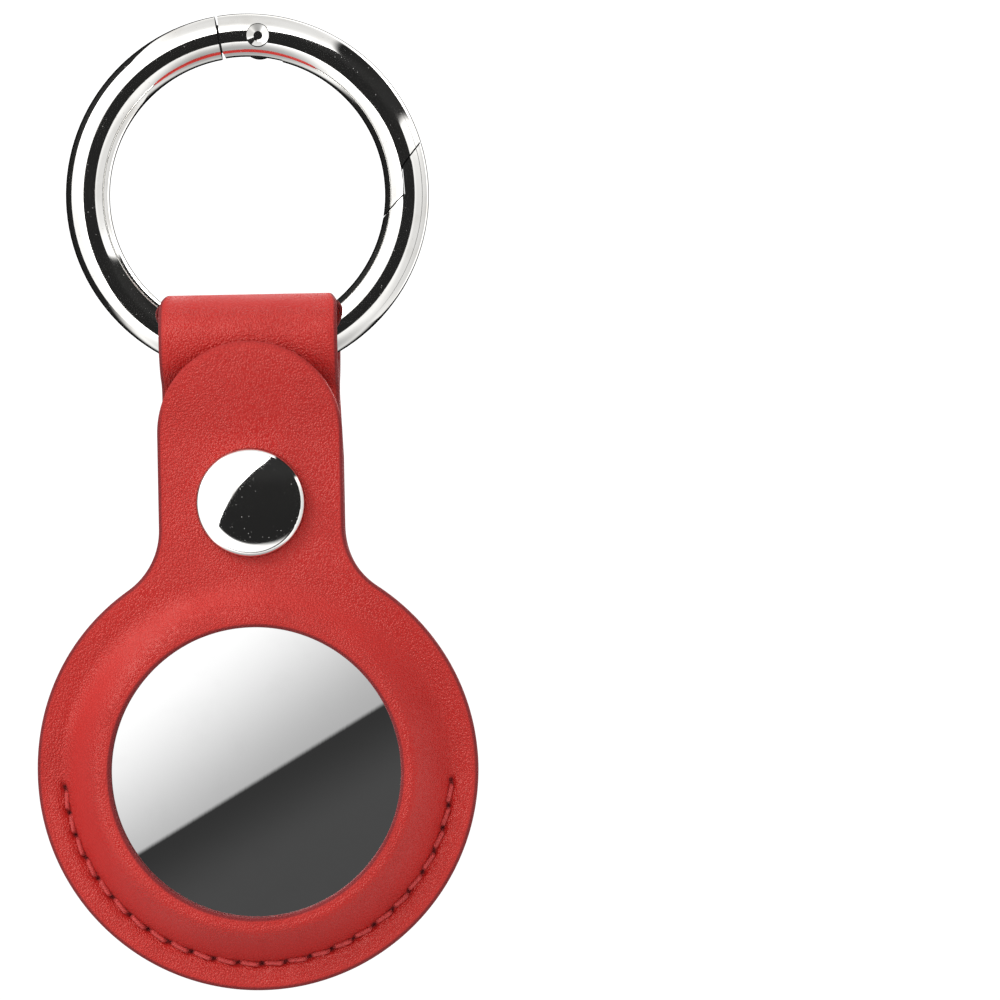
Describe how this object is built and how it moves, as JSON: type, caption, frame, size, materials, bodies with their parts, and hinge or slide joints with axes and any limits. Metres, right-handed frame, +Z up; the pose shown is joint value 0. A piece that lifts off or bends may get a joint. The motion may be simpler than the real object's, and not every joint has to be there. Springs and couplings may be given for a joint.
{
  "type": "tracker tag holder",
  "caption": "Leather holder for a round tracker tag, with a window, a snap-closed flap and a strap folded over a spring-gate ring that clips to keys or a bag",
  "frame": {"origin": "centre of the ring's eye", "axes": "+Z runs up the holder from its round body to the ring, +Y is its back, +X is its right side seen from the front, where the gate opens"},
  "size_m": [0.04, 0.0117, 0.0887],
  "materials": {
    "ring_chrome": "polished plated die casting",
    "cap_chrome": "polished plated brass cap",
    "spring_steel": "bright drawn wire",
    "red_leather": "pebble-grain coated leather, satin",
    "red_thread": "twisted polyester thread",
    "snap_brass": "nickel plated brass",
    "white_shell": "gloss moulding",
    "polished_cover": "mirror-polished stainless steel",
    "cell_steel": "nickel plated steel",
    "board_green": "solder mask",
    "chip_black": "moulded epoxy",
    "coil_copper": "enamelled copper wire"
  },
  "bodies": {
    "ring": {"ring_frame": "ring_chrome"},
    "gate": {"ring_gate": "ring_chrome", "hinge_pin": "ring_chrome", "gate_spring": "spring_steel"},
    "plunger": {"gate_plunger": "spring_steel"},
    "holder": {"back_panel": "red_leather", "front_panel": "red_leather", "needle_thread": "red_thread", "bobbin_thread": "red_thread", "back_cap": "cap_chrome", "back_post": "snap_brass", "snap_stud": "snap_brass", "tag_housing": "white_shell", "coin_cell": "cell_steel", "battery_tray": "white_shell", "battery_contacts": "spring_steel", "circuit_board": "board_green", "board_chips": "chip_black", "speaker_magnet": "cell_steel", "voice_coil": "coil_copper", "antenna_ring": "chip_black"},
    "flap": {"front_flap": "red_leather", "front_cap": "cap_chrome", "front_post": "snap_brass", "snap_socket": "snap_brass", "socket_spring": "spring_steel"},
    "cover": {"tag_cover": "polished_cover"}
  },
  "joints": [
    {"name": "gate_hinge", "type": "hinge", "parent": "ring", "child": "gate", "pos_m": [0.00131, 0, 0.01434], "axis": [0, 1, 0], "range_deg": [0, 25], "stiffness_Nm_per_rad": 0.02, "springref_deg": -17.19},
    {"name": "plunger_slide", "type": "slide", "parent": "gate", "child": "plunger", "axis": [0.9781, 0, -0.2079], "range_m": [0, 0.0001427]},
    {"name": "strap_swing", "type": "hinge", "parent": "ring", "child": "holder", "pos_m": [0, 0, -0.01303], "axis": [1, 0, 0], "range_deg": [-100, 140]},
    {"name": "flap_fold", "type": "hinge", "parent": "holder", "child": "flap", "pos_m": [0, -0.00515, -0.0528], "axis": [1, 0, 0], "range_deg": [0, 60], "stiffness_Nm_per_rad": 0.004, "springref_deg": -11.46},
    {"name": "cover_twist", "type": "hinge", "parent": "holder", "child": "cover", "pos_m": [0, 0, -0.0522], "axis": [0, -1, 0], "range_deg": [0, 30]}
  ],
  "couplings": [
    {"joint": "plunger_slide", "follows": "gate_hinge", "m_per_rad": 0.00032704}
  ]
}
